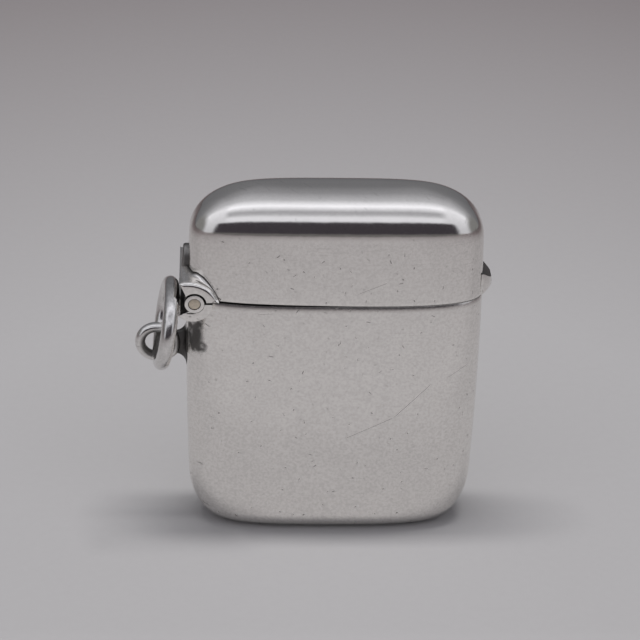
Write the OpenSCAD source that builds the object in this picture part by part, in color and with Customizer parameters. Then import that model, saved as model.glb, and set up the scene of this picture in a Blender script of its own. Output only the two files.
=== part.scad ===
// Plain silver vesta case, standing on its striker base.
// Front face looks along -Y, the hinge runs along Y on the left side, +Z is up.
// The origin is the centre of the flat base. Sizes are in millimetres.

/* [Case] */
// Width across the two sides
case_w = 38; // [34:0.5:44]
// Height of the closed case
case_h = 49; // [46:0.5:56]
// Thickness from front to back
case_d = 11; // [10:0.25:13]
// Height at which the lid parts from the body
lid_line = 34.3; // [31:0.1:36]
// Sheet thickness of the body and the lid
wall = 0.6; // [0.5:0.05:0.8]
// Thickness of the base
base_t = 0.9; // [0.8:0.05:1.4]
// How far the sides bow outwards between base and crown
side_bow = 0.65; // [0.3:0.05:1]
// Squareness of the level sections, where 2 is an ellipse
section_power = 3.2; // [2.8:0.1:3.8]

/* [Rounded edges] */
// Width of the rounding at the upper corners
top_corner_w = 9.6; // [7:0.1:11]
// Height of the rounding at the upper corners
top_corner_h = 6.6; // [5.8:0.1:7.4]
// Width of the rounding at the lower corners
base_corner_w = 4.5; // [3.6:0.1:6]
// Height of the rounding at the lower corners
base_corner_h = 6; // [4:0.1:8]
// Radius of the rounding between the base and the two faces
base_round = 3; // [2.4:0.1:3.2]
// Height of the rounding over the crown
crown_round = 5.5; // [4.5:0.1:6.5]
// Width of the narrow level strip along the crown
crown_flat = 1; // [0.6:0.1:2]

/* [Lid fit] */
// Gap between the rims of lid and body
rim_gap = 0.12; // [0.08:0.01:0.2]
// Height of the collar inside the lid
collar_up = 1.6; // [1:0.1:2.2]
// Depth of the collar inside the body
collar_down = 3.2; // [2:0.1:5]
// Thickness of the collar
collar_t = 0.4; // [0.3:0.05:0.6]
// Play between the collar and the lid
collar_play = 0.12; // [0.1:0.01:0.2]
// Solder film between the collar or strap and its wall
solder = 0.03; // [0.02:0.01:0.05]

/* [Hinge] */
// Depth of the pin's axis inside the case's left side
pin_inset = 0.95; // [0.85:0.01:1.05]
// Length of the hinge from front to back
hinge_len = 8.8; // [8:0.1:9.2]
// Outer radius of the knuckles
knuckle_r = 1.25; // [1.2:0.01:1.3]
// Radius of the hinge pin
pin_r = 0.75; // [0.6:0.01:0.8]
// Running play of the middle knuckle on the pin
pin_play = 0.03; // [0.02:0.01:0.05]
// Length of the middle knuckle
middle_len = 3.4; // [3.2:0.1:4]
// Gap between neighbouring knuckles
knuckle_gap = 0.1; // [0.08:0.01:0.15]
// Gap round a knuckle where the other half of the hinge passes it
groove_gap = 0.25; // [0.15:0.01:0.3]
// Radius of the half-round bearer on the body
bearer_r = 2.8; // [2.6:0.05:3]
// Radius of the arched bearer on the lid
arch_r = 4.1; // [3.9:0.05:4.3]
// Drop of the arch's centre below the pin
arch_drop = 1.6; // [1.5:0.05:1.7]
// Shift of the arch's centre outwards from the pin
arch_out = 0.65; // [0.5:0.05:0.8]
// Opening angle at which the stop faces meet
open_angle = 90; // [80:1:95]
// Distance of the lid's stop face from the pin's axis
stop_out = 0.58; // [0.5:0.01:0.62]
// Slope of the lid's stop face from upright
stop_slope = 23.75; // [20:0.25:28]
// Play left between the stop faces when the lid is open
stop_play = 0.1; // [0.08:0.01:0.2]

/* [Lid strap] */
// Width of the strap's tongue
tongue_w = 2.8; // [2.2:0.1:3.4]
// Height of the sloping shoulders above the bearer
shoulder_h = 1.1; // [0.8:0.1:1.5]
// Height of the tongue above the bearer
tongue_h = 4.5; // [4:0.1:5]
// How far the strap stands out at its foot
strap_foot_t = 0.65; // [0.5:0.05:0.7]
// How far the strap stands out at its tip
strap_tip_t = 0.5; // [0.4:0.02:0.6]

/* [Snap spring] */
// Width of the leaf spring
spring_w = 2.8; // [2.2:0.1:3]
// Thickness of the leaf spring
spring_t = 0.35; // [0.25:0.05:0.4]
// Distance of the knuckle's flats from the pin's axis
cam_flat = 1.05; // [1:0.01:1.1]
// Room for the spring to give way in the body's bearer
spring_room = 0.4; // [0.3:0.05:0.5]
// Height of the spring's lower end
spring_low = 8; // [6:0.5:10]
// Height at which the spring leaves the wall
spring_lift = 17; // [16:0.5:20]
// Height at which the spring stands upright again
spring_level = 29.5; // [26:0.5:30]
// Radius of the rivets' shanks
rivet_r = 0.5; // [0.4:0.05:0.6]
// Radius of the rivets' heads
rivet_head_r = 0.85; // [0.7:0.05:1]
// Thickness of the rivets' heads
rivet_head_t = 0.3; // [0.2:0.05:0.4]
// Distance between the two rivets
rivet_pitch = 3.5; // [2.5:0.1:4.5]

/* [Thumb piece] */
// Length of the thumb piece from front to back
thumb_len = 4.2; // [3.4:0.1:4.4]
// Reach of the thumb piece beyond the lid's side
thumb_out = 1.25; // [0.8:0.05:1.6]
// Height of the thumb piece
thumb_h = 2.9; // [2.2:0.1:3.4]
// Height of the blunt outer edge
thumb_edge = 1; // [0.6:0.05:1.4]
// Depth of its seat in the lid's side
thumb_seat = 0.33; // [0.25:0.01:0.4]

/* [Loop and ring] */
// Height of the loop's eye above the base
loop_z = 26; // [22:0.1:27]
// Distance of the ring's pivot from the case's side
loop_out = 3.4; // [3.2:0.05:4]
// Mean radius of the loop
loop_r = 2.14; // [2.1:0.01:2.3]
// Radius of the loop's wire
loop_wire_r = 0.67; // [0.6:0.01:0.7]
// Length by which the eye is drawn out sideways
loop_stretch = 0.45; // [0.3:0.05:0.8]
// Height of the loop's flared foot
foot_h = 6.4; // [5.6:0.1:7]
// Thickness of the foot at the body
foot_t = 3; // [2.6:0.1:3.4]
// Thickness of the foot at the loop
neck_t = 0.9; // [0.7:0.05:1.1]
// Radius of the foot's flare above and below
flare_r = 1.55; // [1.4:0.05:1.7]
// Depth of the foot's seat in the body's side
foot_seat = 0.15; // [0.1:0.01:0.2]
// Mean radius of the jump ring
ring_r = 5.13; // [4.8:0.01:5.4]
// Radius of the jump ring's wire
ring_wire_r = 0.97; // [0.8:0.01:1]
// Lean of the ring towards the hinge
ring_lean = 8.7; // [7:0.1:9]
// Turn of the ring about the upright
ring_turn = 2.7; // [0:0.1:4]
// Angle of the ring's centre in front of the upright through the eye
ring_slew = 30; // [26:0.1:31]
// How far the ring's wire rests below the middle of the eye
ring_drop = 0.15; // [0.1:0.01:0.2]

/* [Striker] */
// Length of the striker
striker_len = 22; // [16:0.5:24]
// Width of the striker
striker_w = 3.4; // [2.6:0.1:3.6]
// Depth of the striker's recess
striker_t = 0.45; // [0.35:0.05:0.5]
// Distance between the striker's ridges
ridge_pitch = 0.8; // [0.6:0.05:1.2]
// Height of the striker's ridges
ridge_h = 0.22; // [0.15:0.01:0.25]
// How far the ridges stay above the standing plane
ridge_lift = 0.05; // [0.03:0.01:0.08]

/* [Hidden] */
$fn = 96;
// Points round a level section, and levels over a rounding, a corner and a plain stretch
section_points = 64;
edge_steps = 7;
corner_steps = 3;
body_steps = 5;
lid_steps = 4;
// Steps of the spring's bend, and of the strap's grid across, through, up its shoulders and up its tongue
bend_steps = 16;
strap_columns = 24;
strap_layers = 12;
slope_rows = 4;
tongue_rows = 12;
// Part of the tongue's width left at its blunt top, and how square its rounding is
tongue_blunt = 0.1;
tongue_square = 4;
// Lean of the thumb piece's blunt edge
thumb_lean = 0.16;
// Overshoot of a cutting shape beyond the face it cuts
over = 1;
silver = [0.78, 0.77, 0.75];
worn_silver = [0.70, 0.69, 0.67];
steel = [0.45, 0.46, 0.48];
nickel = [0.66, 0.60, 0.50];
body_rim = lid_line - rim_gap / 2;
lid_rim = lid_line + rim_gap / 2;
pin_x = pin_inset - side_x(lid_line);
groove_r = knuckle_r + groove_gap;
outer_knuckle_len = (hinge_len - middle_len) / 2 - knuckle_gap;
outer_knuckle_y = (hinge_len - outer_knuckle_len) / 2;
slot_len = middle_len + 2 * knuckle_gap;
// Distance from the pin's axis to the arch's inner end at the lid's rim
arch_reach = sqrt(pow(arch_r, 2) - pow(arch_drop + rim_gap / 2, 2)) - arch_out;
loop_x = -case_w / 2 - loop_out;

// Rounding of an edge: 1 at the edge itself, 0 at the end of the rounding, a quarter ellipse between
function edge_fall(part) = 1 - sqrt(1 - pow(1 - min(1, max(0, part)), 2));
// Bow of the two sides, nothing at mid height and full at base and crown
function bow(z) = side_bow * pow(2 * z / case_h - 1, 2);
// Lowest and highest level of the case's form drawn in by an inset
function low(inset) = inset > 0 ? base_t : 0;
function high(inset) = case_h - inset;
// Half width of the form at a level
function half_w(z, inset) = case_w / 2 - inset - bow(z)
    - (base_corner_w - inset) * edge_fall((z - low(inset)) / (base_corner_h - inset))
    - (top_corner_w - inset) * edge_fall((high(inset) - z) / (top_corner_h - inset));
// Half thickness of the form at a level
function half_d(z, inset) = case_d / 2 - inset
    - (base_round - inset) * edge_fall((z - low(inset)) / (base_round - inset))
    - (case_d / 2 - inset - crown_flat / 2) * edge_fall((high(inset) - z) / (crown_round - inset));
// Distance of the case's side from the middle, at a level and at a place between front and back
function side_x(z, y = 0) =
    half_w(z, 0) * pow(1 - pow(min(1, abs(y) / half_d(z, 0)), section_power), 1 / section_power);
// Signed power that squares a circle into the case's section
function squared(v) = sign(v) * pow(abs(v), 2 / section_power);
// One point of a level section, by its angle round the case
function section_point(angle, z, inset) =
    [half_w(z, inset) * squared(cos(angle)), half_d(z, inset) * squared(sin(angle)), z];
// One whole level section
function section(z, inset) =
    [for (i = [0 : section_points - 1]) section_point(360 * i / section_points, z, inset)];
// Levels that rise from the base over its roundings to the body's rim
function body_levels(inset) = let (low_z = low(inset), round_z = base_round - inset,
        corner_z = base_corner_h - inset) concat(
    [for (i = [0 : edge_steps - 1]) low_z + round_z * (1 - cos(90 * i / (edge_steps - 1)))],
    [for (i = [1 : corner_steps]) low_z + round_z + (corner_z - round_z) * i / corner_steps],
    [for (i = [1 : body_steps]) low_z + corner_z + (body_rim - low_z - corner_z) * i / body_steps]);
// Levels that rise from the lid's rim over the crown
function lid_levels(inset) = let (corner_z = top_corner_h - inset, foot_z = high(inset) - corner_z) concat(
    [for (i = [0 : lid_steps - 1]) lid_rim + (foot_z - lid_rim) * i / lid_steps],
    [for (i = [0 : edge_steps + 1]) foot_z + corner_z * sin(90 * i / (edge_steps + 1))]);
// The same list from last to first
function backwards(list) = [for (i = [len(list) - 1 : -1 : 0]) list[i]];
// Smooth step from 0 to 1
function ease(part) = let (p = min(1, max(0, part))) p * p * (3 - 2 * p);
// Height over the pin of the lid's arched bearer with its solder film, at a distance from the pin's axis
function arch_z(x) = sqrt(pow(arch_r + solder, 2) - pow(x + arch_out, 2)) - arch_drop;

// Skin over a row of closed sections of equal length, with both ends capped
module skin(rows) {
    n = len(rows[0]);
    m = len(rows);
    sides = [for (k = [0 : m - 2], i = [0 : n - 1]) let (j = (i + 1) % n)
        each [[k * n + i, (k + 1) * n + i, (k + 1) * n + j], [k * n + i, (k + 1) * n + j, k * n + j]]];
    caps = [[for (i = [0 : n - 1]) i], [for (i = [n - 1 : -1 : 0]) (m - 1) * n + i]];
    polyhedron([for (row = rows) each row], concat(sides, caps), convexity = 8);
}

// Closed block over a bent grid of points, counted across, then through, then upwards
module bent_block(columns, layers, rows, points) {
    function id(i, j, k) = (k * (layers + 1) + j) * (columns + 1) + i;
    function patch(a, b, c, d) = [[a, b, c], [a, c, d]];
    level = [for (i = [0 : columns - 1], j = [0 : layers - 1]) each concat(
        patch(id(i, j, 0), id(i, j + 1, 0), id(i + 1, j + 1, 0), id(i + 1, j, 0)),
        patch(id(i, j, rows), id(i + 1, j, rows), id(i + 1, j + 1, rows), id(i, j + 1, rows)))];
    faces = [for (i = [0 : columns - 1], k = [0 : rows - 1]) each concat(
        patch(id(i, 0, k), id(i + 1, 0, k), id(i + 1, 0, k + 1), id(i, 0, k + 1)),
        patch(id(i, layers, k), id(i, layers, k + 1), id(i + 1, layers, k + 1), id(i + 1, layers, k)))];
    ends = [for (j = [0 : layers - 1], k = [0 : rows - 1]) each concat(
        patch(id(0, j, k), id(0, j, k + 1), id(0, j + 1, k + 1), id(0, j + 1, k)),
        patch(id(columns, j, k), id(columns, j + 1, k), id(columns, j + 1, k + 1), id(columns, j, k + 1)))];
    polyhedron(points, concat(level, faces, ends), convexity = 8);
}

// Places a profile drawn in X and Z round the pin, drawn out along Y about the middle
module along_hinge(length, y = 0) {
    translate([pin_x, y, lid_line]) rotate([90, 0, 0])
        linear_extrude(height = length, center = true) children();
}

// Half-plane on one side of a stop face, limited to the face's own side of the pin
module stop_side(turn, from, to) {
    rotate(180 + stop_slope + turn) translate([from, -2 * arch_r]) square([to - from, 2 * arch_r]);
}

// Round of the whole arched bearer above the lid's rim
module arch_round() {
    intersection() {
        translate([-arch_out, -arch_drop]) circle(arch_r);
        translate([-2 * arch_r, rim_gap / 2]) square([4 * arch_r, 2 * arch_r]);
    }
}

// Body: drawn shell with rounded base, open at the lid line
module body_shell() {
    color(silver) difference() {
        skin(concat([for (z = body_levels(0)) section(z, 0)],
            [for (z = backwards(body_levels(wall))) section(z, wall)]));
        along_hinge(hinge_len) circle(bearer_r);
        striker_outline(-over, striker_t);
        foot_block();
        rivet_holes();
    }
}

// Collar: strip inside the mouth that the lid closes over, left open at the hinge
module collar() {
    low_in = wall + solder;
    high_in = wall + collar_play;
    end_part = (-pin_x - arch_reach - rim_gap) / half_w(lid_line, high_in);
    end_step = floor(acos(-pow(end_part, section_power / 2)) / 360 * section_points);
    color(worn_silver) skin([for (i = [end_step : -1 : -end_step]) let (angle = 360 * i / section_points) [
        section_point(angle, lid_line - collar_down, low_in + collar_t),
        section_point(angle, lid_line + collar_up, high_in + collar_t),
        section_point(angle, lid_line + collar_up, high_in),
        section_point(angle, body_rim, low_in),
        section_point(angle, lid_line - collar_down, low_in)]]);
}

// Outline of the striker with round ends, between two levels
module striker_outline(from, to) {
    translate([0, 0, from]) linear_extrude(height = to - from) union() {
        square([striker_len - striker_w, striker_w], center = true);
        for (side = [-1, 1]) translate([side * (striker_len - striker_w) / 2, 0]) circle(d = striker_w);
    }
}

// Striker: hardened plate in the base with a row of sharp ridges across it
module striker_plate() {
    count = floor(striker_len / ridge_pitch);
    start = -count * ridge_pitch / 2;
    valley = ridge_lift + ridge_h;
    ridges = [for (i = [0 : count]) each [[start + i * ridge_pitch, valley],
        if (i < count) [start + (i + 0.5) * ridge_pitch, ridge_lift]]];
    color(steel) intersection() {
        striker_outline(0, striker_t);
        rotate([90, 0, 0]) linear_extrude(height = striker_w + over, center = true)
            polygon(concat([[-striker_len, striker_t], [-striker_len, valley]], ridges,
                [[striker_len, valley], [striker_len, striker_t]]));
    }
}

// Half-round bearer soldered into the body, grooved for the knuckles and slotted for the spring
module body_bearer() {
    color(silver) difference() {
        along_hinge(hinge_len) difference() {
            circle(bearer_r);
            circle(knuckle_r);
            translate([-2 * bearer_r, -rim_gap / 2]) square([4 * bearer_r, 2 * bearer_r]);
            stop_side(open_angle, -2 * bearer_r, stop_out + stop_play);
        }
        along_hinge(slot_len) circle(groove_r);
        along_hinge(spring_w + 2 * groove_gap) translate([cam_flat - groove_gap, -2 * bearer_r])
            square([spring_t + spring_room + groove_gap, 2 * bearer_r]);
    }
}

// One knuckle of the hinge: a short tube
module knuckle(length, y, bore) {
    along_hinge(length, y) difference() {
        circle(knuckle_r);
        circle(bore);
    }
}

module front_knuckle() {
    color(silver) knuckle(outer_knuckle_len, -outer_knuckle_y, pin_r);
}

module rear_knuckle() {
    color(silver) knuckle(outer_knuckle_len, outer_knuckle_y, pin_r);
}

// Middle knuckle on the lid, with the two flats that the spring presses on
module middle_knuckle() {
    color(silver) difference() {
        knuckle(middle_len, 0, pin_r + pin_play);
        for (turn = [0, -open_angle]) along_hinge(middle_len + over)
            rotate(turn) translate([cam_flat, -knuckle_r]) square(2 * knuckle_r);
    }
}

module hinge_pin() {
    color(nickel) along_hinge(hinge_len) circle(pin_r);
}

// Back of the spring: flat on the wall below, then an easy S over to the knuckle's flat
function spring_foot_x() = solder - half_w(spring_lift, wall)
    * pow(1 - pow(spring_w / 2 / half_d(spring_lift, wall), section_power), 1 / section_power)
    + bow(spring_low);
function spring_x(z) = let (foot = spring_foot_x(), tip = pin_x + cam_flat + pin_play)
    foot + (tip - foot) * ease((z - spring_lift) / (spring_level - spring_lift));
function rivet_z(i) = (spring_low + spring_lift) / 2 + (i - 0.5) * rivet_pitch;

// Leaf spring inside the hinge side, which snaps the lid shut and holds it open
module hinge_spring() {
    top = body_rim - rim_gap / 2;
    bends = [for (i = [0 : bend_steps]) spring_lift + (spring_level - spring_lift) * i / bend_steps];
    levels = concat([spring_low], bends, [top]);
    color(steel) difference() {
        rotate([90, 0, 0]) linear_extrude(height = spring_w, center = true)
            polygon(concat([for (z = levels) [spring_x(z), z]],
                [for (z = backwards(levels)) [spring_x(z) + spring_t, z]]));
        rivet_holes();
    }
}

// Shank of one rivet, from the case's outside to a depth inside
module rivet_shank(i, depth) {
    z = rivet_z(i);
    outside = solder - side_x(z);
    translate([outside, 0, z]) rotate([0, 90, 0]) cylinder(r = rivet_r, h = depth - outside);
}

module rivet_holes() {
    for (i = [0, 1]) translate([-over, 0, 0]) rivet_shank(i, spring_foot_x() + spring_t + 2 * over);
}

// Two rivets that hold the spring to the wall, filed flush outside
module spring_rivets() {
    head_x = spring_foot_x() + spring_t;
    color(worn_silver) for (i = [0, 1]) {
        rivet_shank(i, head_x + rivet_head_t);
        translate([head_x, 0, rivet_z(i)]) rotate([0, 90, 0]) cylinder(r = rivet_head_r, h = rivet_head_t);
    }
}

// Flared foot of the loop, let a little into the body's side
module foot_block() {
    seat_x = foot_seat - case_w / 2;
    neck_x = loop_x + loop_r;
    depth = seat_x - neck_x;
    thin = (foot_t - neck_t) / 2;
    intersection() {
        translate([0, 0, loop_z]) rotate([90, 0, 0])
            linear_extrude(height = foot_t, center = true) difference() {
                translate([neck_x, -foot_h / 2]) square([depth, foot_h]);
                for (side = [-1, 1]) translate([-case_w / 2 - flare_r, side * foot_h / 2]) circle(flare_r);
                for (side = [-1, 1]) translate([-case_w / 2 - flare_r - foot_h / 2, side * foot_h / 2])
                    square([foot_h, 2 * flare_r], center = true);
            }
        translate([0, 0, loop_z]) linear_extrude(height = foot_h, center = true) difference() {
            translate([neck_x, -foot_t / 2]) square([depth, foot_t]);
            for (side = [-1, 1]) translate([-case_w / 2 - thin, side * foot_t / 2]) circle(thin);
            for (side = [-1, 1]) translate([-case_w / 2 - thin - foot_h / 2, side * foot_t / 2])
                square([foot_h, 2 * thin], center = true);
        }
    }
}

// Half of the loop's round wire, on the left or the right of its eye
module loop_half(x, start) {
    translate([x, 0, loop_z]) rotate([90, 0, 0]) rotate([0, 0, start])
        rotate_extrude(angle = 180) translate([loop_r, 0]) circle(loop_wire_r);
}

// Loop: drawn-out eye of round wire on its flared foot
module ring_loop() {
    color(silver) union() {
        loop_half(loop_x - loop_stretch, 90);
        loop_half(loop_x, -90);
        for (side = [-1, 1]) translate([loop_x - loop_stretch, 0, loop_z + side * loop_r])
            rotate([0, 90, 0]) cylinder(r = loop_wire_r, h = loop_stretch);
        foot_block();
    }
}

// Lid: drawn shell with a fully rounded crown
module lid_shell() {
    color(silver) difference() {
        skin(concat([for (z = backwards(lid_levels(wall))) section(z, wall)],
            [for (z = lid_levels(0)) section(z, 0)]));
        along_hinge(hinge_len) translate([-arch_out, -arch_drop]) circle(arch_r);
        thumb_piece();
    }
}

// Half width of the strap at a height above the bearer: sloping shoulders, then a round-topped tongue
function strap_half(h) = h < shoulder_h
    ? hinge_len / 2 - (hinge_len - tongue_w) / 2 * h / shoulder_h
    : tongue_w / 2 * max(tongue_blunt, sqrt(1 - pow((h - shoulder_h) / (tongue_h - shoulder_h), tongue_square)));
// Levels of the strap's grid above the bearer
function strap_levels() = concat([for (k = [0 : slope_rows]) shoulder_h * k / slope_rows],
    [for (k = [1 : tongue_rows]) shoulder_h + (tongue_h - shoulder_h) * sin(90 * k / tongue_rows)]);
// Back of the strap: on the lid's side, and never past the arch's inner end
function strap_back(z, y) = min(-side_x(z, y) - solder, pin_x + arch_reach);
// Place in the strap between its face and its back
function strap_x(face, through, z, y) = face + through * (strap_back(z, y) - face);
// Height of the strap over the arch
function strap_z(x, h) = lid_line + arch_z(x - pin_x) + h;
// Point in the strap: across its width, through it from face to back, and up from the bearer
function strap_point(across, through, h) = let (
        level = strap_z(pin_x - pin_inset, h),
        y = across * strap_half(h),
        face = -side_x(level) - strap_foot_t - (strap_tip_t - strap_foot_t) * h / tongue_h,
        near_z = strap_z(strap_x(face, through, level, y), h),
        z = strap_z(strap_x(face, through, near_z, y), h))
    [strap_x(face, through, z, y), y, z];

// Outer strap that braces the bearer against the lid's side
module lid_strap() {
    color(silver) bent_block(strap_columns, strap_layers, slope_rows + tongue_rows,
        [for (h = strap_levels(), j = [0 : strap_layers], i = [0 : strap_columns])
            strap_point(sin(180 * i / strap_columns - 90), j / strap_layers, h)]);
}

// Arched bearer on the lid, grooved for the knuckles and cut back to the stop face
module lid_bearer() {
    color(silver) difference() {
        along_hinge(hinge_len) difference() {
            arch_round();
            circle(knuckle_r);
            stop_side(0, stop_out, 4 * arch_r);
        }
        for (side = [-1, 1]) along_hinge(outer_knuckle_len + knuckle_gap + over,
            side * (outer_knuckle_y - knuckle_gap / 2 + over / 2)) circle(groove_r);
    }
}

// Thumb piece: a small crescent with a sloping top, let into the lid's right side
module thumb_piece() {
    foot = lid_rim + solder;
    side = side_x(foot + thumb_h / 2);
    tip = side + thumb_out;
    bend_r = (pow(thumb_len / 2, 2) + pow(thumb_out, 2)) / (2 * thumb_out);
    color(silver) intersection() {
        rotate([90, 0, 0]) linear_extrude(height = thumb_len + over, center = true) polygon([
            [side - thumb_seat, foot], [side, foot], [tip, foot + (thumb_h - thumb_edge) / 2],
            [tip - thumb_lean, foot + (thumb_h + thumb_edge) / 2], [side, foot + thumb_h],
            [side - thumb_seat, foot + thumb_h]]);
        translate([tip - bend_r, 0, 0]) cylinder(r = bend_r, h = case_h);
    }
}

// Jump ring of round wire, stood up through the loop's eye and leant towards the hinge
module jump_ring() {
    color(silver) translate([loop_x, 0, loop_z - ring_drop])
        rotate([0, ring_lean, 0]) rotate([0, 0, ring_turn])
            translate([0, -ring_r * sin(ring_slew), ring_r * cos(ring_slew)]) rotate([0, 90, 0])
                rotate_extrude() translate([ring_r, 0]) circle(ring_wire_r);
}

body_shell();
collar();
striker_plate();
body_bearer();
front_knuckle();
rear_knuckle();
hinge_pin();
hinge_spring();
spring_rivets();
ring_loop();
lid_shell();
lid_bearer();
lid_strap();
middle_knuckle();
thumb_piece();
jump_ring();
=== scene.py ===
import math

import bmesh
import bpy
import numpy as np
from mathutils import Matrix, Vector


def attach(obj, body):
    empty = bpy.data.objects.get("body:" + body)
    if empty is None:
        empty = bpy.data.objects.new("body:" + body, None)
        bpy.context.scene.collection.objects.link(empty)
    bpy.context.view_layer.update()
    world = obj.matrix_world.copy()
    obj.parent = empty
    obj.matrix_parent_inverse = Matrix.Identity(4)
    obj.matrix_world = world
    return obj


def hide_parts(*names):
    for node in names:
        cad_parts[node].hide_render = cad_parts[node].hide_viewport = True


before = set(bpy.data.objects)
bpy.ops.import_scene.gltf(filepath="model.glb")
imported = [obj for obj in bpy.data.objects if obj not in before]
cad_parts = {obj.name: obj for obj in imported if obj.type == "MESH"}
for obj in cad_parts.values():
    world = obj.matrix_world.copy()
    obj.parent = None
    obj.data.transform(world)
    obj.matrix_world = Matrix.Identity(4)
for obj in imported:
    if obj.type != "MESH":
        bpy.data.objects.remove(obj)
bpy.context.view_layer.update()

mm = 0.001

# the case's own form in millimetres, as in the part's source apart from the base's corners and rounding
caseForm = dict(width=38.0, height=49.0, depth=11.0, lidLine=34.3, wall=0.6, baseT=0.9, sideBow=0.65, power=3.2,
                topCornerW=9.6, topCornerH=6.6, baseCornerW=4.8, baseCornerH=7.2, baseRound=2.4,
                crownRound=5.5, crownFlat=1.0, around=288)
# hinge round the lid's pin, the bearers' rounds by their own middles
hinge = dict(x=-17.946, z=34.3, half=5.05, knuckleR=1.25, pinR=0.75, middleLen=3.4, gap=0.1, grooveR=1.5, seatR=1.27,
             bearerX=-18.136, bearerR=2.5, archX=-18.786, archZ=33.15, archR=4.2,
             stopOut=0.58, stopPlay=0.1, stopSlope=23.75, rimUp=0.16, rimDown=0.06)
half = hinge["half"]


def gridFaces(rows, cols, loopRows=False, loopCols=False, start=0):
    # quads between neighbouring rows and columns of a grid, joined end to start where asked
    r = np.arange(rows if loopRows else rows - 1)[:, None]
    c = np.arange(cols if loopCols else cols - 1)[None, :]
    r2, c2 = (r + 1) % rows, (c + 1) % cols
    quads = np.stack([r * cols + c, r * cols + c2, r2 * cols + c2, r2 * cols + c], -1)
    return (quads.reshape(-1, 4) + start).tolist()


def fanFaces(ring, pole, flip=False):
    # triangles from a closed ring of points to one pole
    nxt = np.roll(ring, -1)
    tri = np.stack([ring, np.full_like(ring, pole), nxt] if flip else [ring, nxt, np.full_like(ring, pole)], -1)
    return tri.tolist()


def makePiece(name, points, faces, sharp=None):
    # one object at the origin from points in millimetres, smooth shaded, creases marked past an angle
    mesh = bpy.data.meshes.new(name)
    mesh.from_pydata((np.asarray(points) * mm).tolist(), [], faces)
    mesh.validate()
    mesh.shade_smooth()
    if sharp:
        mesh.set_sharp_from_angle(angle=math.radians(sharp))
    piece = bpy.data.objects.new(name, mesh)
    bpy.context.scene.collection.objects.link(piece)
    return piece


def stackMesh(name, rows, sharp=None):
    # closed skin over a stack of equal rings, with a pole in the middle of the first and of the last ring
    rows = np.asarray(rows)
    m, n = rows.shape[:2]
    points = np.concatenate([rows.reshape(-1, 3), [rows[0].mean(0)], [rows[-1].mean(0)]])
    faces = gridFaces(m, n, loopCols=True)
    faces += fanFaces(np.arange(n), m * n, flip=True)
    faces += fanFaces(np.arange((m - 1) * n, m * n), m * n + 1)
    return makePiece(name, points, faces, sharp)


def outward(piece):
    # turns all faces outwards if the closed mesh came out inside out
    mesh = piece.data
    co = np.empty(len(mesh.vertices) * 3)
    mesh.vertices.foreach_get("co", co)
    co = co.reshape(-1, 3)
    mesh.calc_loop_triangles()
    tri = np.empty(len(mesh.loop_triangles) * 3, int)
    mesh.loop_triangles.foreach_get("vertices", tri)
    a, b, c = (co[tri.reshape(-1, 3)[:, k]] for k in range(3))
    if np.einsum("ij,ij->i", a, np.cross(b, c)).sum() < 0:
        mesh.flip_normals()
    return piece


def cutAway(piece, cutter, sharp):
    # takes the cutter's volume out of the piece and drops the cutter
    cut = piece.modifiers.new("cut", "BOOLEAN")
    cut.operation, cut.solver, cut.object = "DIFFERENCE", "EXACT", cutter
    bpy.context.view_layer.update()
    done = bpy.data.meshes.new_from_object(piece.evaluated_get(bpy.context.evaluated_depsgraph_get()))
    piece.modifiers.remove(cut)
    piece.data = done
    done.shade_smooth()
    done.set_sharp_from_angle(angle=math.radians(sharp))
    bpy.data.objects.remove(cutter)
    return piece


def barAlongY(name, outline, low, high, edge=0.0, sharp=30, strip=False):
    # outline in X and Z carried straight along Y, its end edges rounded by shrinking it, each point by its own edge
    # ends closed to a pole, or for a thin outline by a strip between its two halves
    outline, edge = np.asarray(outline), np.zeros(len(outline)) + edge
    turns = np.radians(np.linspace(0, 90, 9)) if edge.any() else np.array([math.pi / 2])
    area = np.sum(outline[:, 0] * np.roll(outline[:, 1], -1) - np.roll(outline[:, 0], -1) * outline[:, 1])
    along = np.roll(outline, -1, 0) - np.roll(outline, 1, 0)
    normal = np.stack([along[:, 1], -along[:, 0]], -1) * np.sign(area)
    normal /= np.linalg.norm(normal, axis=1)[:, None] + 1e-9
    rows = []
    for t in turns:
        ring = outline - normal * edge[:, None] * (1 - math.sin(t))
        rows.append(np.column_stack([ring[:, 0], low + edge * (1 - math.cos(t)), ring[:, 1]]))
    for t in turns[::-1]:
        ring = outline - normal * edge[:, None] * (1 - math.sin(t))
        rows.append(np.column_stack([ring[:, 0], high - edge * (1 - math.cos(t)), ring[:, 1]]))
    if not strip:
        return outward(stackMesh(name, rows, sharp))
    m, n = len(rows), len(outline)
    i = np.arange(n // 2 - 1)
    cap = np.stack([i, i + 1, n - 2 - i, n - 1 - i], -1)
    faces = gridFaces(m, n, loopCols=True) + cap[:, ::-1].tolist() + (cap + (m - 1) * n).tolist()
    return outward(makePiece(name, np.concatenate(rows), faces, sharp))


def edgeFall(part):
    # quarter ellipse: 1 at the very edge, 0 where the rounding ends
    p = np.clip(part, 0, 1)
    return 1 - np.sqrt(np.clip(1 - (1 - p) ** 2, 0, None))


def halfSizes(z, inset):
    # half width and half depth of the case at height z, drawn in by an inset, roundings at base and crown
    f = caseForm
    low = f["baseT"] if inset > 0 else 0.0
    high = f["height"] - inset
    bow = f["sideBow"] * (2 * z / f["height"] - 1) ** 2
    a = (f["width"] / 2 - inset - bow
         - (f["baseCornerW"] - inset) * edgeFall((z - low) / (f["baseCornerH"] - inset))
         - (f["topCornerW"] - inset) * edgeFall((high - z) / (f["topCornerH"] - inset)))
    b = (f["depth"] / 2 - inset
         - (f["baseRound"] - inset) * edgeFall((z - low) / (f["baseRound"] - inset))
         - (f["depth"] / 2 - inset - f["crownFlat"] / 2) * edgeFall((high - z) / (f["crownRound"] - inset)))
    return a, b


def signedPower(v):
    # size to the power that squares the oval, with the sign kept
    return np.sign(v) * np.abs(v) ** (2 / caseForm["power"])


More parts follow.
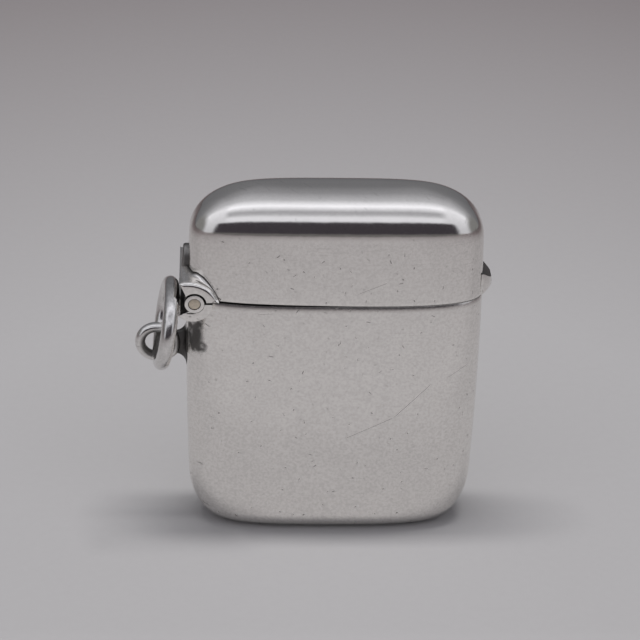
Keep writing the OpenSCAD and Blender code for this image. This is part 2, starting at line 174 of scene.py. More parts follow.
def evenTurns(count):
    # angles round the squared oval that give steps of about equal length on the middle section
    t = np.linspace(0, 2 * np.pi, 20001)
    x, y = caseForm["width"] / 2 * signedPower(np.cos(t)), caseForm["depth"] / 2 * signedPower(np.sin(t))
    s = np.concatenate([[0], np.cumsum(np.hypot(np.diff(x), np.diff(y)))])
    return np.interp(np.linspace(0, s[-1], count, endpoint=False), s, t)


def pillowRows(levels, inset):
    # level sections of the pillow: squared ovals with half sizes from halfSizes, one row for each height
    t = evenTurns(caseForm["around"])
    z = np.asarray(levels)[:, None] + 0 * t[None, :]
    a, b = halfSizes(z, inset)
    return np.stack([a * signedPower(np.cos(t)), b * signedPower(np.sin(t)), z], -1)


def sideX(z, y):
    # how far the case's side stands from the middle at height z and depth y
    a, b = halfSizes(z, 0)
    return a * (1 - np.clip(np.abs(y) / b, 0, 1) ** caseForm["power"]) ** (1 / caseForm["power"])


def easeStep(p):
    # soft step from 0 to 1
    p = np.clip(p, 0, 1)
    return p * p * (3 - 2 * p)


def rimTurn(rowsOut, rowsIn, lift, soften):
    # rounded lip that joins the outer wall to the inner wall, lift is +1 upwards or -1 downwards
    turn = np.radians(np.linspace(12, 168, 7))[:, None, None]
    mid, reach = (rowsOut + rowsIn) / 2, (rowsOut - rowsIn) / 2
    lip = mid + reach * np.cos(turn)
    lip[..., 2] += lift * soften * np.sin(turn)[..., 0]
    return lip


bodyLook = dict(rimBelow=0.02, lip=0.05, baseSteps=22, cornerSteps=10, wallSteps=30, poleSteps=6)
lidLook = dict(hingeLift=0.2, liftFrom=8.0, liftOver=20.0, lip=0.05, wallSteps=22, crownSteps=56, poleSteps=6)
strikerSlot = dict(length=22.0, width=3.4, deep=0.45, under=1.0)


def capRows(row, steps):
    # rings that shrink from a row to its middle, to close a flat end
    middle = row.mean(0)
    part = np.linspace(1, 0, steps + 1)[1:-1, None, None]
    return middle + (row - middle) * part


def bodyLevels(inset, top, look):
    # heights of the body's sections, close together over the base's rounding
    low = caseForm["baseT"] if inset else 0.0
    roundZ, cornerZ = caseForm["baseRound"] - inset, caseForm["baseCornerH"] - inset
    over = low + roundZ * (1 - np.cos(np.radians(np.linspace(0, 90, look["baseSteps"]))))
    corner = np.linspace(low + roundZ, low + cornerZ, look["cornerSteps"])[1:]
    return np.concatenate([over, corner, np.linspace(low + cornerZ, top, look["wallSteps"])[1:]])


def makeBodyShell():
    # outer pillow from base to rim, lip, then the inner pillow back down, both ends closed at the base's middle
    look = bodyLook
    top = caseForm["lidLine"] - look["rimBelow"] - look["lip"]
    outer = pillowRows(bodyLevels(0, top, look), 0)
    inner = pillowRows(bodyLevels(caseForm["wall"], top, look), caseForm["wall"])[::-1]
    rows = np.concatenate([capRows(outer[0], look["poleSteps"])[::-1], outer,
                           rimTurn(outer[-1], inner[0], 1, look["lip"]), inner, capRows(inner[-1], look["poleSteps"])])
    return outward(stackMesh("bodyShell", rows))


def makeLidShell():
    # the lid's pillow, its rim a hair higher towards the hinge where it has worn open
    look, f = lidLook, caseForm
    foot = f["lidLine"] + look["lip"]

    def wall(inset):
        corner = f["topCornerH"] - inset
        start = f["height"] - inset - corner
        levels = np.concatenate([np.linspace(foot, start, look["wallSteps"]),
                                 start + corner * np.sin(np.radians(np.linspace(0, 90, look["crownSteps"])))[1:]])
        rows = pillowRows(levels, inset)
        down = np.clip((start - rows[..., 2]) / (start - foot), 0, 1)
        rows[..., 2] += look["hingeLift"] * easeStep((look["liftFrom"] - rows[..., 0]) / look["liftOver"]) * down
        return rows

    outer, inner = wall(0), wall(f["wall"])
    rows = np.concatenate([capRows(inner[-1], look["poleSteps"])[::-1], inner[::-1],
                           rimTurn(inner[0], outer[0], -1, look["lip"]), outer, capRows(outer[-1], look["poleSteps"])])
    return outward(stackMesh("lidShell", rows))


def discOutline(x, z, r, count=128):
    # circle in X and Z
    t = np.linspace(0, 2 * np.pi, count, endpoint=False)
    return np.column_stack([x + r * np.cos(t), z + r * np.sin(t)])


def slotCutter(name, count=24):
    # round-ended slot outline in X and Y from under the base up to the slot's floor
    slot = strikerSlot
    t = np.linspace(-np.pi / 2, np.pi / 2, count)
    straight, end = (slot["length"] - slot["width"]) / 2, slot["width"] / 2
    right = np.column_stack([straight + end * np.cos(t), end * np.sin(t)])
    ring = np.concatenate([right, -right])
    rows = [np.column_stack([ring, np.full(len(ring), z)]) for z in (-slot["under"], slot["deep"])]
    return outward(stackMesh(name, rows))


def hingeCutter(name, x, z, r, count=128):
    # round bar as long as the hinge
    return barAlongY(name, discOutline(x, z, r, count), -half, half)


bodyShell = makeBodyShell()
cutAway(bodyShell, hingeCutter("cutBearer", hinge["bearerX"], hinge["z"], hinge["bearerR"]), 40)
cutAway(bodyShell, slotCutter("cutStriker"), 40)
lidShell = makeLidShell()
cutAway(lidShell, hingeCutter("cutArch", hinge["archX"], hinge["archZ"], hinge["archR"], 160), 40)
print("shells made", len(bodyShell.data.polygons), len(lidShell.data.polygons))


# end counts sections of a full turn where the strip stops on either side of the hinge
collarLook = dict(down=3.2, up=1.6, thick=0.4, low=0.63, high=0.72, step=0.05, end=24, sections=64, points=240)


def makeCollar():
    # strip profile with a rounded top, carried round the inside of the mouth and open at the hinge
    look = collarLook
    stop = math.radians(360 * look["end"] / look["sections"])
    t = np.linspace(stop, -stop, look["points"])
    line = caseForm["lidLine"]
    edge = look["thick"] / 2
    turn = np.radians(np.linspace(0, 180, 7))
    profile = [(line - look["down"], look["low"] + look["thick"])]
    profile += [(line + look["up"] - edge + edge * math.sin(a), look["high"] + edge + edge * math.cos(a)) for a in turn]
    profile += [(line - look["step"], look["low"]), (line - look["down"], look["low"])]
    rows = []
    for z, inset in profile:
        a, b = halfSizes(np.full_like(t, z), inset)
        rows.append(np.column_stack([a * signedPower(np.cos(t)), b * signedPower(np.sin(t)), np.full_like(t, z)]))
    return outward(stackMesh("collarStrip", np.transpose(np.array(rows), (1, 0, 2)), 35))


collarStrip = makeCollar()


bearerLook = dict(edge=0.06, seatEdge=0.01, archEdge=0.6, archFade=10, points=100)


def arcPoints(x, z, r, start, end, count):
    # points on part of a circle in X and Z
    a = np.linspace(start, end, count)
    return np.column_stack([x + r * np.cos(a), z + r * np.sin(a)])


def makeLidBearer():
    # arch from its inner end over the top to the stop face, then down that face and back along the knuckles' groove
    look, h = bearerLook, hinge
    slope, rim = math.radians(h["stopSlope"]), h["z"] + h["rimUp"]
    lean = (h["archX"] - h["x"]) * math.cos(slope) + (h["archZ"] - h["z"]) * math.sin(slope)
    stop = slope + math.acos((-h["stopOut"] - lean) / h["archR"])
    arch = arcPoints(h["archX"], h["archZ"], h["archR"], math.asin((rim - h["archZ"]) / h["archR"]), stop,
                     look["points"])
    groove = arcPoints(h["x"], h["z"], h["grooveR"], slope + math.acos(-h["stopOut"] / h["grooveR"]),
                       math.asin(h["rimUp"] / h["grooveR"]), look["points"])
    place = np.arange(look["points"])
    wide = easeStep((np.minimum(place, place[::-1]) + 1) / look["archFade"])
    archEdge = look["edge"] + (look["archEdge"] - look["edge"]) * wide
    edge = np.concatenate([archEdge, np.full(look["points"], look["edge"])])
    return barAlongY("lidBearer", np.concatenate([arch, groove]), -half, half, edge, 35, True)


def makeBodyBearer():
    # lower round from the rim to the body's stop face, then up that face and back along the knuckles' seat
    look, h = bearerLook, hinge
    slope, out = math.radians(h["stopSlope"] - 90), h["stopOut"] + h["stopPlay"]
    lean = (h["bearerX"] - h["x"]) * math.cos(slope)
    lower = arcPoints(h["bearerX"], h["z"], h["bearerR"], -math.asin(h["rimDown"] / h["bearerR"]),
                      slope - math.acos((out - lean) / h["bearerR"]), look["points"])
    seat = arcPoints(h["x"], h["z"], h["seatR"], slope - math.acos(out / h["seatR"]),
                     -math.asin(h["rimDown"] / h["seatR"]), look["points"])
    edge = np.repeat([look["edge"], look["seatEdge"]], look["points"])
    return barAlongY("bodyBearer", np.concatenate([lower, seat]), -half, half, edge, 35, True)


bodyBearer, lidBearer = makeBodyBearer(), makeLidBearer()


def makeTube(name, low, high, bore, edge=0.05, radius=hinge["knuckleR"]):
    # lathed tube along Y round the pin: outer wall, rounded rims and bore turned in one closed profile
    a = np.radians(np.linspace(0, 90, 4))
    out = [(radius - edge + edge * math.sin(v), low + edge - edge * math.cos(v)) for v in a]
    out += [(radius - edge + edge * math.cos(v), high - edge + edge * math.sin(v)) for v in a]
    inner = [(bore, high), (bore, low)]
    profile = np.array(out + inner)
    t = np.linspace(0, 2 * np.pi, 96, endpoint=False)[:, None]
    r, y = profile[:, 0][None, :], profile[:, 1][None, :] + 0 * t
    rows = np.stack([hinge["x"] + r * np.cos(t), y, hinge["z"] + r * np.sin(t)], -1)
    return outward(makePiece(name, rows.reshape(-1, 3), gridFaces(*rows.shape[:2], loopRows=True, loopCols=True), 35))


knuckleIn, boreR = hinge["middleLen"] / 2 + hinge["gap"], hinge["pinR"] + 0.05
frontKnuckle = makeTube("frontKnuckle", -half, -knuckleIn, boreR)
rearKnuckle = makeTube("rearKnuckle", knuckleIn, half, boreR)

pinLook = dict(short=0.02, dome=0.05, axis=0.02, edge=0.04, roll=0.06)


def makePin():
    # pin turned about Y with slightly domed, filed ends
    look, r = pinLook, hinge["pinR"]
    end, dome = half - look["short"], look["dome"]
    profile = [(look["axis"], -end), (r * 0.55, -end + dome * 0.15), (r - look["edge"], -end + dome),
               (r, -end + dome + look["roll"])]
    profile += [(p, -y) for p, y in profile[::-1]]
    profile = np.array(profile)
    t = np.linspace(0, 2 * np.pi, 72, endpoint=False)
    rows = [np.column_stack([hinge["x"] + p * np.cos(t), np.full_like(t, y), hinge["z"] + p * np.sin(t)])
            for p, y in profile]
    return outward(stackMesh("hingePin", rows, 40))


hingePin = makePin()
print("hinge made")


# crevice sizes the painted shade where the shoulders meet the lid's side, tongueDark darkens the tongue all over
strapLook = dict(tongueW=2.8, tongueH=3.0, footT=0.85, tipT=0.65, footX=-18.9, slopeH=0.5, front=4.6, sink=0.05,
                 tipIn=0.3, bed=0.04, least=0.01, edge=0.14, tongueEdge=0.4, fillet=0.2, filletLeast=0.02,
                 corner=0.45, cornerFrom=2.6, cornerOver=0.8, endPast=0.1, endOver=0.9,
                 crevice=0.16, creviceWide=0.4, creviceTo=3.7, creviceOver=0.9, creviceDark=0.95, tongueDark=0.72)


def archTop(x):
    # height of the arched bearer's top over the pin's level, a circle about the arch's own centre
    return np.sqrt(np.clip(hinge["archR"] ** 2 - (x - hinge["archX"]) ** 2, 0, None)) + hinge["archZ"] - hinge["z"]


def sheetBlock(top, bottom):
    # points and faces of a closed block between two equal grids, with walls along their four borders
    m, n = top.shape[:2]
    ids = np.arange(m * n).reshape(m, n)
    rim = np.concatenate([ids[0, :-1], ids[:-1, -1], ids[-1, :0:-1], ids[:0:-1, 0]])
    walls = np.stack([rim, np.roll(rim, -1), np.roll(rim, -1) + m * n, rim + m * n], -1)
    faces = gridFaces(m, n) + [f[::-1] for f in gridFaces(m, n, start=m * n)] + walls[:, ::-1].tolist()
    return np.concatenate([top.reshape(-1, 3), bottom.reshape(-1, 3)]), faces


def strapFace(h):
    # how far out the strap's outer face stands at a height over the bearer, from foot to tip
    look = strapLook
    level = hinge["z"] + archTop(look["footX"]) + h
    return -sideX(level, 0) - look["footT"] - (look["tipT"] - look["footT"]) * h / look["tongueH"]


def makeShoulders():
    # height field over the arch: a slope that rises to the tongue, with a round fillet up against the lid's side
    # the height and the lid's side depend on each other, so a few turns settle them
    look = strapLook
    inside = hinge["archX"] + hinge["archR"] - look["tipIn"]
    y = look["front"] * np.sin(np.linspace(-np.pi / 2, np.pi / 2, 121))[:, None]
    v = np.sin(np.linspace(0, np.pi / 2, 61))[None, :]
    slope = look["slopeH"] * np.clip((look["front"] - np.abs(y)) / (look["front"] - look["tongueW"] / 2), 0, 1)
    z = hinge["z"] + 2.5 + slope + 0 * v
    for _ in range(4):
        wall = sideX(z, y)
        lean = (sideX(z, y + 0.05) - sideX(z, y - 0.05)) / 0.1
        face = strapFace(slope) + 0 * v
        x = face + v * (np.minimum(look["sink"] - wall, inside) - face)
        away = np.clip((-x - wall) / np.sqrt(1 + lean ** 2), 0, None)
        size = look["fillet"] + look["corner"] * easeStep((np.abs(y) - look["cornerFrom"]) / look["cornerOver"])
        size = size * easeStep((look["front"] + look["endPast"] - np.abs(y)) / look["endOver"]) + look["filletLeast"]
        rise = size - np.sqrt(np.clip(size ** 2 - np.clip(size - away, 0, None) ** 2, 0, None))
        edge = look["edge"] * (1 - np.sqrt(1 - np.clip(1 - (x - face) / look["edge"], 0, 1) ** 2 * 0.99))
        z = hinge["z"] + archTop(x) + np.maximum(slope + rise - edge, look["least"])
    top = np.stack([x, y + 0 * v, z], -1)
    bottom = np.stack([x, y + 0 * v, hinge["z"] + archTop(x) - look["bed"]], -1)
    # painted shade in the crevice along the lid's side
    crevice = look["crevice"] + look["creviceWide"] * easeStep((look["creviceTo"] - np.abs(y)) / look["creviceOver"])
    shadeAndDark = easeStep(1 - away / crevice) * look["creviceDark"]
    return (*sheetBlock(top, bottom), np.concatenate([shadeAndDark.ravel(), shadeAndDark.ravel()]))


def makeTongue():
    # plate bent over the lid's side, its half width round at the top and its outer edge rounded well over
    look = strapLook
    h = look["tongueH"] * np.sin(np.linspace(0, np.pi / 2, 61))[None, :]
    bend = np.clip((h - look["slopeH"]) / (look["tongueH"] - look["slopeH"]), 0, 1)
    wide = look["tongueW"] / 2 * np.sqrt(np.clip(1 - bend ** 2, 0.003, 1))
    y = np.sin(np.linspace(-np.pi / 2, np.pi / 2, 61))[:, None] * wide
    level = hinge["z"] + archTop(look["footX"]) + h + 0 * y
    border = np.clip(1 - np.minimum(wide - np.abs(y), look["tongueH"] - h) / look["tongueEdge"], 0, 1)
    outer = strapFace(h) + look["tongueEdge"] * (1 - np.sqrt(1 - border ** 2 * 0.99))
    inner = look["sink"] + 0.1 - sideX(level, y)
    return sheetBlock(np.stack([outer + 0 * y, y, level], -1), np.stack([inner, y, level], -1))


def makeStrap():
    # shoulders and tongue in one piece of two closed skins, with painted shade along the lid's side and a darker tongue
    # as an attribute
    low, lowFaces, shadeAndDark = makeShoulders()
    high, highFaces = makeTongue()
    faces = lowFaces + [[i + len(low) for i in face] for face in highFaces]
    piece = makePiece("lidStrap", np.concatenate([low, high]), faces)
    # attribute of painted shade from the crevice, and the tongue darkened all over
    dark = piece.data.attributes.new("shadeAndDark", "FLOAT", "POINT")
    dark.data.foreach_set("value", np.concatenate([shadeAndDark, np.full(len(high), strapLook["tongueDark"])]))
    bm = bmesh.new()
    bm.from_mesh(piece.data)
    bmesh.ops.recalc_face_normals(bm, faces=bm.faces)
    bm.to_mesh(piece.data)
    bm.free()
    piece.data.shade_smooth()
    piece.data.set_sharp_from_angle(angle=math.radians(40))
    return piece


lidStrap = makeStrap()


loopLook = dict(x=-22.4, z=26.0, r=2.14, wire=0.664, stretch=0.45, footH=6.4, footT=3.0, neckT=0.9, flare=1.55,
                seat=0.3, side=-19.0, join=0.1, square=0.7)


def makeLoop():
    # round wire carried round a drawn-out eye: two half circles with straight joins
    look = loopLook
    n = 96
    a = np.linspace(-np.pi / 2, np.pi / 2, n)
    right = np.column_stack([look["x"] + look["r"] * np.cos(a), look["z"] + look["r"] * np.sin(a)])
    left = np.column_stack([look["x"] - look["stretch"] - look["r"] * np.cos(a), look["z"] - look["r"] * np.sin(a)])
    path = np.concatenate([right, left])
    normal = np.concatenate([np.column_stack([np.cos(a), np.sin(a)]), np.column_stack([-np.cos(a), -np.sin(a)])])
    t = np.linspace(0, 2 * np.pi, 40, endpoint=False)
    wire = look["wire"]
    rows = np.stack([path[:, None, 0] + wire * normal[:, None, 0] * np.cos(t),
                     wire * np.sin(t)[None, :] + 0 * path[:, None, 0],
                     path[:, None, 1] + wire * normal[:, None, 1] * np.cos(t)], -1)
    return outward(makePiece("ringLoop", rows.reshape(-1, 3), gridFaces(*rows.shape[:2], loopRows=True, loopCols=True)))


def makeFoot():
    # flared foot: squared ovals from the body's side to the neck, both half sizes on quarter circles
    look = loopLook
    flare = look["side"] - look["flare"] * (1 - np.cos(np.linspace(0, np.pi / 2, 24)))
    x = np.concatenate([[look["side"] + look["seat"]], flare, [look["x"] + look["r"] - look["join"]]])
    out = np.clip((look["side"] - x) / look["flare"], 0, 1)
    rise = look["flare"] * np.sqrt(np.clip(1 - (1 - out) ** 2, 0, 1))
    thin = (look["footT"] - look["neckT"]) / 2
    slim = np.clip((look["side"] - x) / thin, 0, 1)
    tall = look["footH"] / 2 - rise
    thick = look["footT"] / 2 - thin * np.sqrt(np.clip(1 - (1 - slim) ** 2, 0, 1))
    t = np.linspace(0, 2 * np.pi, 64, endpoint=False)
    c = np.sign(np.cos(t)) * np.abs(np.cos(t)) ** look["square"]
    s = np.sign(np.sin(t)) * np.abs(np.sin(t)) ** look["square"]
    rows = [np.column_stack([np.full_like(t, xx), k * s, look["z"] + h * c]) for xx, h, k in zip(x, tall, thick)]
    return outward(stackMesh("loopFoot", rows, 50))


ringLoop, loopFoot = makeLoop(), makeFoot()

ringLook = dict(r=5.13, wire=0.963, lean=8.7, turn=2.7, slew=30.0, drop=0.15)


def makeRing():
    # wire circle turned about X, its middle set off from the eye by the slew, then turned and leant as a whole
    look = ringLook
    p = np.linspace(0, 2 * np.pi, 160, endpoint=False)[:, None]
    t = np.linspace(0, 2 * np.pi, 48, endpoint=False)[None, :]
    rad = look["r"] + look["wire"] * np.cos(t)
    x, y, z = look["wire"] * np.sin(t) + 0 * p, rad * np.cos(p), rad * np.sin(p)
    s = math.radians(look["slew"])
    y, z = y - look["r"] * math.sin(s), z + look["r"] * math.cos(s)
    a = math.radians(look["turn"])
    x, y = x * math.cos(a) - y * math.sin(a), x * math.sin(a) + y * math.cos(a)
    b = math.radians(look["lean"])
    x, z = x * math.cos(b) + z * math.sin(b), -x * math.sin(b) + z * math.cos(b)
    rows = np.stack([x + loopLook["x"], y, z + loopLook["z"] - look["drop"]], -1)
    return outward(makePiece("jumpRing", rows.reshape(-1, 3), gridFaces(*rows.shape[:2], loopRows=True, loopCols=True)))


jumpRing = makeRing()


thumbLook = dict(edge=0.1, segments=3, angle=30)


def makeThumb():
    # merged copy of the thumb piece's solid with a fine rounded edge
    look = thumbLook
    piece = bpy.data.objects.new("thumbPiece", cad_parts["thumb_piece"].data.copy())
    bpy.context.scene.collection.objects.link(piece)
    bm = bmesh.new()
    bm.from_mesh(piece.data)
    bmesh.ops.remove_doubles(bm, verts=bm.verts, dist=1e-6)
    bmesh.ops.dissolve_limit(bm, angle_limit=math.radians(1), verts=bm.verts, edges=bm.edges)
    bm.to_mesh(piece.data)
    bm.free()
    piece.data.shade_smooth()
    bevel = piece.modifiers.new("edge", "BEVEL")
    bevel.width, bevel.segments, bevel.limit_method = look["edge"] * mm, look["segments"], "ANGLE"
    bevel.angle_limit = math.radians(look["angle"])
    bevel.harden_normals = True
    return piece


thumbPiece = makeThumb()
print("loop, ring and thumb piece made")


def nodeTree(owner):
    # empty node tree of a material or world
    owner.use_nodes = True
    tree = owner.node_tree
    tree.nodes.clear()
    return tree


def add(tree, kind, inputs=None, **settings):
    # one node with its settings, and its inputs from numbers or from other nodes' outputs
    node = tree.nodes.new(kind)
    for key, value in settings.items():
        setattr(node, key, value)
    for key, value in (inputs or {}).items():
        socket = node.inputs[key]
        if isinstance(value, bpy.types.NodeSocket):
            tree.links.new(value, socket)
        else:
            socket.default_value = value
    return node


def math2(tree, operation, a, b=0.0):
    # one sum of two values
    return add(tree, "ShaderNodeMath", {0: a, 1: b}, operation=operation).outputs[0]


def times(tree, a, b):
    return math2(tree, "MULTIPLY", a, b)


def ramp(tree, value, low, high, toLow=0.0, toHigh=1.0, smooth=True):
    # value carried from one range to another and held at its ends, softly or straight
    return add(tree, "ShaderNodeMapRange", {"Value": value, "From Min": low, "From Max": high,
                                            "To Min": toLow, "To Max": toHigh},
               interpolation_type="SMOOTHSTEP" if smooth else "LINEAR").outputs["Result"]


def mixed(tree, factor, first, second):
    # colour between two colours, or between colours that come from other nodes
    node = tree.nodes.new("ShaderNodeMix")
    node.data_type = "RGBA"
    sockets = [node.inputs["Factor"]] + [q for q in node.inputs if q.type == "RGBA"]
    for socket, value in zip(sockets, (factor, first, second)):
        if isinstance(value, bpy.types.NodeSocket):
            tree.links.new(value, socket)
        else:
            socket.default_value = value
    return [q for q in node.outputs if q.type == "RGBA"][0]


def noise(tree, vector, scale, detail=2.0, rough=0.5):
    # soft noise from 0 to 1
    inputs = {"Vector": vector, "Scale": scale, "Detail": detail, "Roughness": rough}
    return add(tree, "ShaderNodeTexNoise", inputs).outputs["Fac"]


def stretched(tree, vector, turn, scale):
    # place turned and stretched
    return add(tree, "ShaderNodeMapping", {"Vector": vector, "Rotation": turn, "Scale": scale}).outputs["Vector"]


def dashes(tree, vector, scale, length, width, keep):
    # short nicks: one dash at each cell's own point, turned by the cell's own chance, some cells left bare
    cell = add(tree, "ShaderNodeTexVoronoi", {"Vector": vector, "Scale": scale}, voronoi_dimensions="3D", feature="F1")
    apart = {0: vector, 1: cell.outputs["Position"]}
    offset = add(tree, "ShaderNodeVectorMath", apart, operation="SUBTRACT").outputs[0]
    chance = add(tree, "ShaderNodeSeparateColor", {0: cell.outputs["Color"]})
    parts = add(tree, "ShaderNodeSeparateXYZ", {0: offset})
    angle = times(tree, chance.outputs[0], math.pi)
    cos, sin = math2(tree, "COSINE", angle), math2(tree, "SINE", angle)
    flat, up = math2(tree, "ADD", parts.outputs[0], parts.outputs[1]), parts.outputs[2]
    along = math2(tree, "ABSOLUTE", math2(tree, "ADD", times(tree, flat, cos), times(tree, up, sin)))
    aside = math2(tree, "ABSOLUTE", math2(tree, "SUBTRACT", times(tree, up, cos), times(tree, flat, sin)))
    inLine = times(tree, ramp(tree, along, length * 0.5, length, 1, 0), ramp(tree, aside, width * 0.4, width, 1, 0))
    return times(tree, inLine, ramp(tree, chance.outputs[1], 1 - keep, 1 - keep + 0.3))


def lineMark(tree, xyz, start, end, width):
    # one straight scratch between two places on the front, by distance from the line and place along it
    (x0, z0), (x1, z1) = start, end
    size = math.hypot(x1 - x0, z1 - z0)
    ux, uz = (x1 - x0) / size, (z1 - z0) / size
    dx, dz = math2(tree, "SUBTRACT", xyz.outputs[0], x0), math2(tree, "SUBTRACT", xyz.outputs[2], z0)
    along = math2(tree, "ADD", times(tree, dx, ux), times(tree, dz, uz))
    aside = math2(tree, "ABSOLUTE", math2(tree, "SUBTRACT", times(tree, dz, ux), times(tree, dx, uz)))
    inside = times(tree, ramp(tree, along, -0.1, 0.4), ramp(tree, along, size - 0.4, size + 0.1, 1, 0))
    mark = times(tree, inside, ramp(tree, aside, width * 0.3, width, 1, 0))
    return times(tree, mark, ramp(tree, xyz.outputs[1], -3.5, -3.0, 1, 0))


# the second colour is the dark that painted shade and darkened places are mixed towards
silverLook = dict(color=(0.925, 0.90, 0.865), shadeAndDark=(0.035, 0.032, 0.03), faceRough=0.2)
# noises by scale, detail and roughness, dashes by scale, length, width and share kept, then how strongly each shows
wearLook = dict(grain=(3.0, 3.0, 0.6), cloud=(0.22, 3.0, 0.55), dent=(0.55, 2.0, 0.5), fade=(0.9, 2.0),
                nicks=(0.38, 0.36, 0.11, 0.7), pits=(0.55, 0.2, 0.14, 0.55), hairDark=0.18, scratchDark=0.55,
                speck=0.13, markShade=0.55, markRough=0.2, shadeRough=0.3, crownMarks=0.25, crownSpeck=0.2,
                crownRough=0.5, dentDeep=0.012, grainDeep=0.0012, markDeep=0.006)
# two families of hairlines by turn, stretch and threshold
hairLook = [((0, 0.6, 0), (0.16, 0.16, 7.0), (0.66, 0.74)), ((0, -0.9, 0), (0.13, 0.13, 6.0), (0.67, 0.75))]
# long scratches on the front, from place to place in X and Z
scratches = [((1.6, 14.6), (7.9, 17.8), 0.07), ((7.9, 17.8), (12.6, 22.7), 0.07), ((14.6, 23.4), (17.4, 25.0), 0.05),
             ((2.6, 36.1), (6.4, 37.8), 0.05), ((-10.0, 33.0), (-8.0, 33.2), 0.05)]


# painted shade: a dark dash at the front knuckle's foot, and the painted dark reflection and shade of the ring under
# the hinge, by middle and reach in X, Y and Z
footDash = ((-19.1, 32.99), (-17.8, 32.97), 0.12)
ringShadeSpot = ((-17.8, 1.7), (-3.2, 1.7), (28.6, 2.9))


def off(tree, value, middle):
    # distance of a value from a middle
    return math2(tree, "ABSOLUTE", math2(tree, "SUBTRACT", value, middle))


def length2(tree, a, b):
    # length from two sides at right angles
    return math2(tree, "SQRT", math2(tree, "ADD", times(tree, a, a), times(tree, b, b)))


def facing(tree, axis):
    # how far the surface faces along an axis
    return add(tree, "ShaderNodeSeparateXYZ", {0: add(tree, "ShaderNodeNewGeometry").outputs["Normal"]}).outputs[axis]


def hingeGapShade(tree, xyz, vector):
    # painted shade: black in the groove over the knuckles, between the rims and on the stop faces, but on the flat ends
    # only a dash
    dx, dz = math2(tree, "SUBTRACT", xyz.outputs[0], hinge["x"]), math2(tree, "SUBTRACT", xyz.outputs[2], hinge["z"])
    away = length2(tree, dx, dz)
    side = ramp(tree, math2(tree, "ABSOLUTE", facing(tree, 1)), 0.5, 0.8, 1, 0)
    groove = ramp(tree, away, hinge["grooveR"] + 0.1, hinge["grooveR"] + 0.25, 1, 0)
    groove = times(tree, groove, ramp(tree, dz, -0.4, -0.2))
    stop = times(tree, ramp(tree, dx, -1.0, -0.8, 1, 0), ramp(tree, away, 2.3, 2.45, 1, 0))
    gap = ramp(tree, math2(tree, "ABSOLUTE", dz), 0.2, 0.3, 1, 0)
    inner = times(tree, side, math2(tree, "MAXIMUM", gap, math2(tree, "MAXIMUM", groove, stop)))
    return math2(tree, "MAXIMUM", inner, lineMark(tree, xyz, *footDash))


def shellShadeAndReflection(tree, xyz, vector):
    # painted dark reflection and shade of the ring under the hinge, and painted shade along the rims' gap, widest
    # beside the hinge
    parts = []
    for axis, (middle, reach) in enumerate(ringShadeSpot):
        near = math2(tree, "DIVIDE", off(tree, xyz.outputs[axis], middle), reach)
        parts.append(times(tree, near, near))
    away = math2(tree, "ADD", parts[0], math2(tree, "ADD", parts[1], parts[2]))
    away = math2(tree, "ADD", away, ramp(tree, noise(tree, vector, 0.8, 3.0), 0.35, 0.65, -0.35, 0.35))
    patch = ramp(tree, away, 0.25, 1.15, 0.85, 0)
    # painted shade in the gap between the rims
    wide = ramp(tree, xyz.outputs[0], -15.0, -14.6, 0.16, 0)
    rim = ramp(tree, math2(tree, "SUBTRACT", off(tree, xyz.outputs[2], caseForm["lidLine"]), wide), 0.07, 0.11)
    rim = times(tree, math2(tree, "SUBTRACT", 1.0, rim), ramp(tree, xyz.outputs[0], -10.0, 14.0, 0.95, 0.3))
    return math2(tree, "MAXIMUM", patch, rim)


def collarGapShade(tree, xyz, vector):
    # painted shade: dark band behind the gap between the rims
    return ramp(tree, off(tree, xyz.outputs[2], caseForm["lidLine"] + 0.1), 0.25, 0.5, 0.95, 0)


def strapShadeAndDark(tree, xyz, vector):
    # the strap's own attribute: painted shade in the crevice and a darker tongue
    return add(tree, "ShaderNodeAttribute", attribute_name="shadeAndDark").outputs["Fac"]


def loopShade(tree, xyz, vector):
    # painted shade: dark inside the eye and low on the foot against the body's side
    look, straight = loopLook, loopLook["stretch"] / 2
    wide = math2(tree, "SUBTRACT", off(tree, xyz.outputs[0], look["x"] - straight), straight)
    away = length2(tree, math2(tree, "MAXIMUM", wide, 0.0), math2(tree, "SUBTRACT", xyz.outputs[2], look["z"]))
    eye = ramp(tree, away, look["r"] - 0.35, look["r"] + 0.2, 0.8, 0)
    inward, low = ramp(tree, xyz.outputs[0], -20.6, -20.0, 0, 0.92), ramp(tree, xyz.outputs[2], 28.2, 29.0, 1, 0.1)
    foot = times(tree, inward, low)
    return math2(tree, "MAXIMUM", eye, foot)


def thumbTopShade(tree, xyz, vector):
    # painted shade: dark on the sloping top, by how far it faces up
    return ramp(tree, facing(tree, 2), 0.3, 0.5, 0, 0.8)


def kept(tree, flatness, share):
    # full on the flat walls and a share of it on the polished crown
    return math2(tree, "ADD", times(tree, flatness, 1 - share), share)


